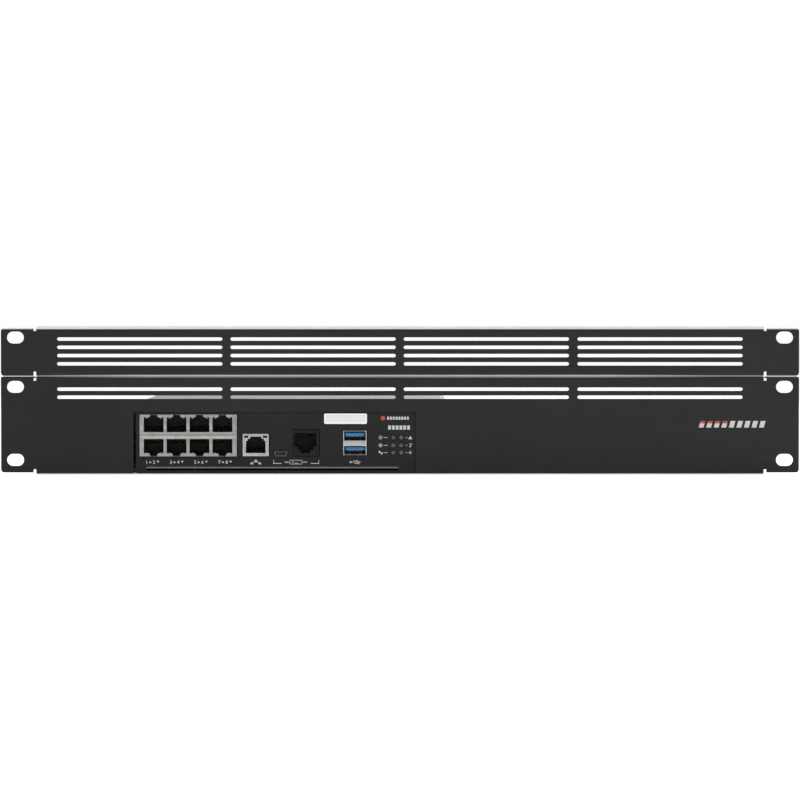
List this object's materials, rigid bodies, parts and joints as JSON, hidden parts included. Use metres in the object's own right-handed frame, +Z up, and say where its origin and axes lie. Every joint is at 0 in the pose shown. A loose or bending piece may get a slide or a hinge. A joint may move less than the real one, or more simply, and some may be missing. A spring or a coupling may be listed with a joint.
{
  "type": "rack-mounted firewall appliance",
  "caption": "Desktop network firewall on a shelf behind a slotted 19-inch rack faceplate with a port cut-out, with a vented filler panel above.",
  "frame": {"origin": "middle of the assembly's base, at the lower edge of the faceplate and the underside of the shelf", "axes": "+X to the right seen from the front, +Y to the rear, +Z up; the port face looks along -Y"},
  "size_m": [0.4826, 0.236, 0.0889],
  "materials": {
    "powder_coat": "fine-textured black powder coat",
    "case_paint": "smooth satin black paint",
    "bezel_plastic": "fine matt moulded black",
    "nickel": "satin nickel plate",
    "zinc": "clear zinc plate",
    "black_plastic": "semi-matt moulded black",
    "blue_plastic": "semi-gloss blue",
    "lens_plastic": "smoked translucent",
    "label_paper": "blank matt white",
    "circuit_board": "green solder mask",
    "chip_resin": "matt moulded black",
    "black_aluminium": "black anodised",
    "steel": "bright can and cell steel",
    "rubber": "matt black"
  },
  "bodies": {
    "root": {"lower_faceplate": "powder_coat", "filler_panel": "powder_coat", "shelf_tray": "powder_coat", "left_panel_bracket": "powder_coat", "right_panel_bracket": "powder_coat", "rear_clip_left": "powder_coat", "rear_clip_right": "powder_coat", "top_cover": "case_paint", "chassis_base": "case_paint", "rear_panel": "case_paint", "front_bezel": "bezel_plastic", "ethernet_jack_shield": "nickel", "management_jack_shield": "nickel", "usb_port_shell": "nickel", "micro_usb_port": "nickel", "bracket_nut_1": "zinc", "bracket_nut_2": "zinc", "bracket_nut_3": "zinc", "bracket_nut_4": "zinc", "shelf_screw_1": "zinc", "shelf_screw_2": "zinc", "shelf_screw_3": "zinc", "shelf_screw_4": "zinc", "clip_screw_1": "zinc", "clip_screw_2": "zinc", "board_screw_1": "zinc", "board_screw_2": "zinc", "board_screw_3": "zinc", "board_screw_4": "zinc", "cover_screw_1": "zinc", "cover_screw_2": "zinc", "ground_stud": "zinc", "ground_nut": "zinc", "ethernet_jack_insert": "black_plastic", "management_jack_insert": "black_plastic", "console_jack": "black_plastic", "dc_inlet_1": "black_plastic", "dc_inlet_2": "black_plastic", "storage_socket": "black_plastic", "coin_cell_holder": "black_plastic", "usb_tongue_lower": "blue_plastic", "usb_tongue_upper": "blue_plastic", "status_light_pipes": "lens_plastic", "blank_label": "label_paper", "main_board": "circuit_board", "storage_module": "circuit_board", "processor": "chip_resin", "switch_chip": "chip_resin", "memory_chip_1": "chip_resin", "memory_chip_2": "chip_resin", "power_inductor": "chip_resin", "processor_heatsink": "black_aluminium", "switch_chip_heatsink": "black_aluminium", "bulk_capacitor": "steel", "coin_cell": "steel", "rubber_foot_1": "rubber", "rubber_foot_2": "rubber", "rubber_foot_3": "rubber", "rubber_foot_4": "rubber"}
  },
  "joints": []
}
